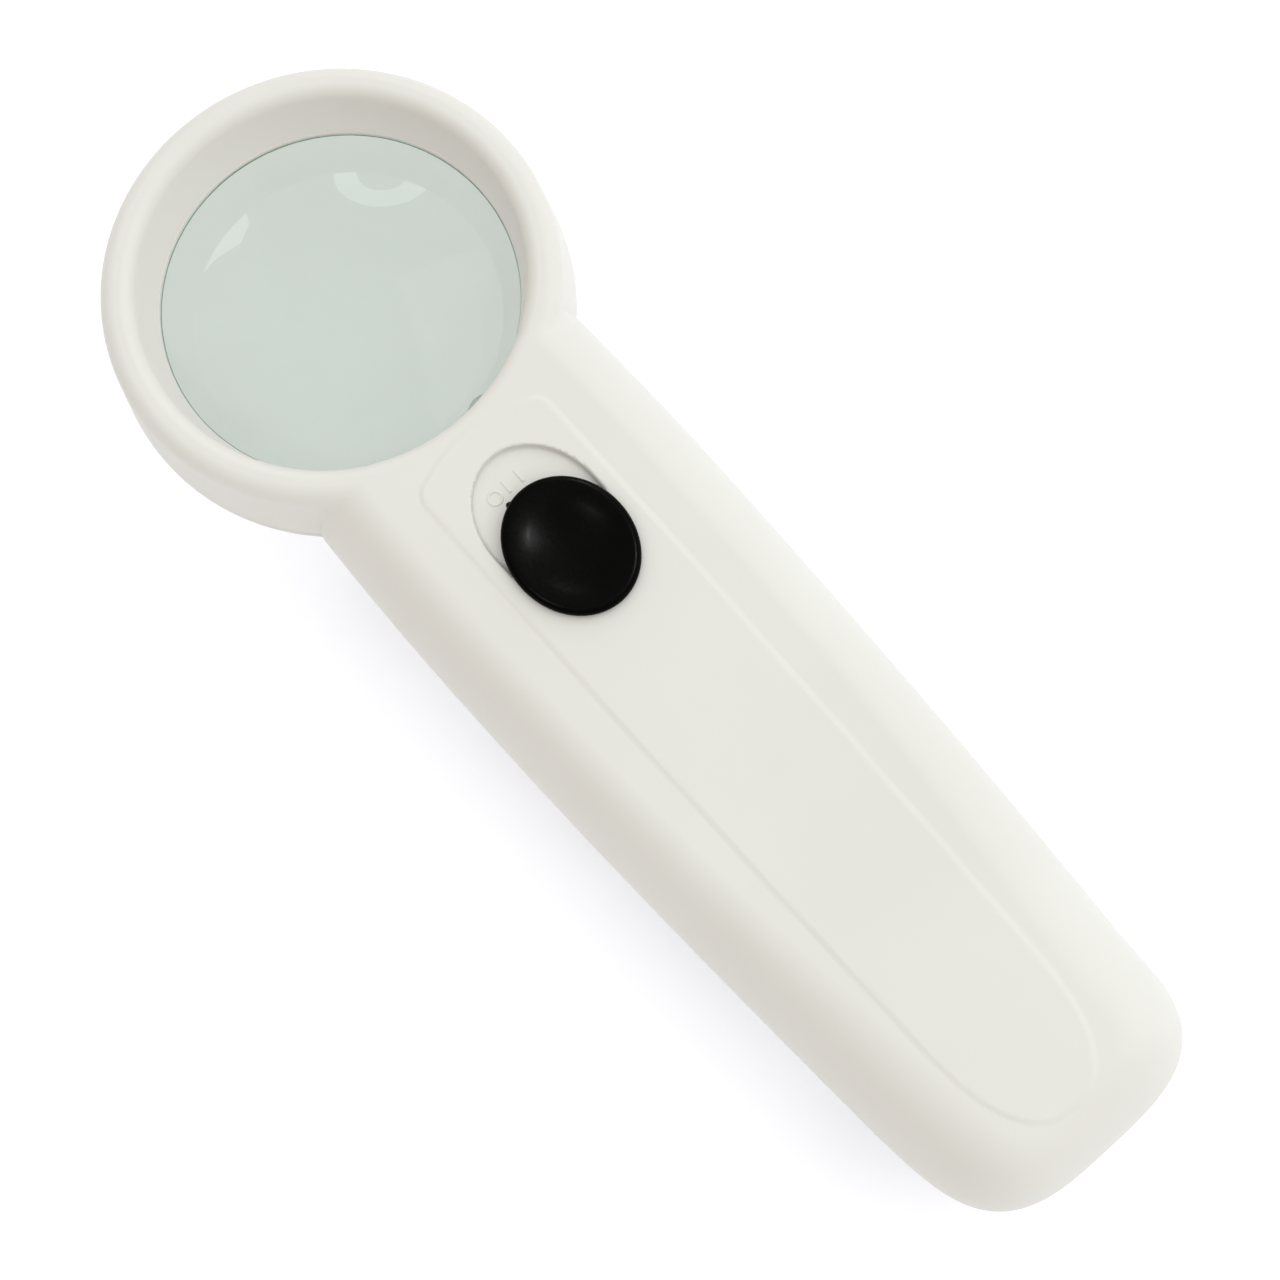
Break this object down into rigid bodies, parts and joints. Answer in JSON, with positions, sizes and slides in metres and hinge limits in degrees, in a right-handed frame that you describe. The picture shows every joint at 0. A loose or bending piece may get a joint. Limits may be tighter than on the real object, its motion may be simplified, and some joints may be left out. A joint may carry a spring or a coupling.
{
  "type": "illuminated hand magnifier",
  "caption": "Hand magnifier with a round lens head, a flat tapering handle, a thumb slide switch and lamps behind the lens.",
  "frame": {"origin": "centre of the object's box, on the flat back that it rests on", "axes": "+X along the handle from the lens head to the butt, +Y across the handle, +Z out of the front with the switch"},
  "size_m": [0.1414, 0.05, 0.0232],
  "materials": {
    "shell_white": "satin moulded",
    "knob_black": "satin",
    "lens_acrylic": "polished, faintly green",
    "carriage_nylon": "plain moulded",
    "contact_brass": "plain",
    "board_green": "solder resist",
    "screw_steel": "zinc plated",
    "resistor_body": "lacquered",
    "tinned_wire": "tinned",
    "led_epoxy": "clear epoxy",
    "cell_can": "nickel plated",
    "cell_sleeve": "printed shrink sleeve, no lettering",
    "contact_nickel": "nickel plated",
    "wire_red": "insulated",
    "wire_black": "insulated"
  },
  "bodies": {
    "housing": {"front_shell": "shell_white", "rear_shell": "shell_white", "lens_retaining_ring": "shell_white", "lens": "lens_acrylic", "switch_contacts": "contact_brass", "circuit_board": "board_green", "board_screws": "screw_steel", "resistor": "resistor_body", "resistor_leads": "tinned_wire", "led_left": "led_epoxy", "led_right": "led_epoxy", "led_left_leads": "tinned_wire", "led_right_leads": "tinned_wire", "battery_left": "cell_can", "battery_right": "cell_can", "battery_left_jacket": "cell_sleeve", "battery_right_jacket": "cell_sleeve", "terminal_positive": "contact_nickel", "terminal_negative": "contact_nickel", "terminal_spring": "contact_nickel", "bridge_plate": "contact_nickel", "bridge_spring": "contact_nickel", "wire_positive": "wire_red", "wire_negative": "wire_black", "shell_screws": "screw_steel"},
    "switch": {"switch_knob": "knob_black", "switch_carriage": "carriage_nylon", "switch_wiper": "contact_brass"},
    "door": {"battery_door": "shell_white"}
  },
  "joints": [
    {"name": "switch_slide", "type": "slide", "parent": "housing", "child": "switch", "axis": [-1, 0, 0], "range_m": [0, 0.0046]},
    {"name": "battery_door_slide", "type": "slide", "parent": "housing", "child": "door", "axis": [1, 0, 0], "range_m": [0, 0.062]}
  ]
}
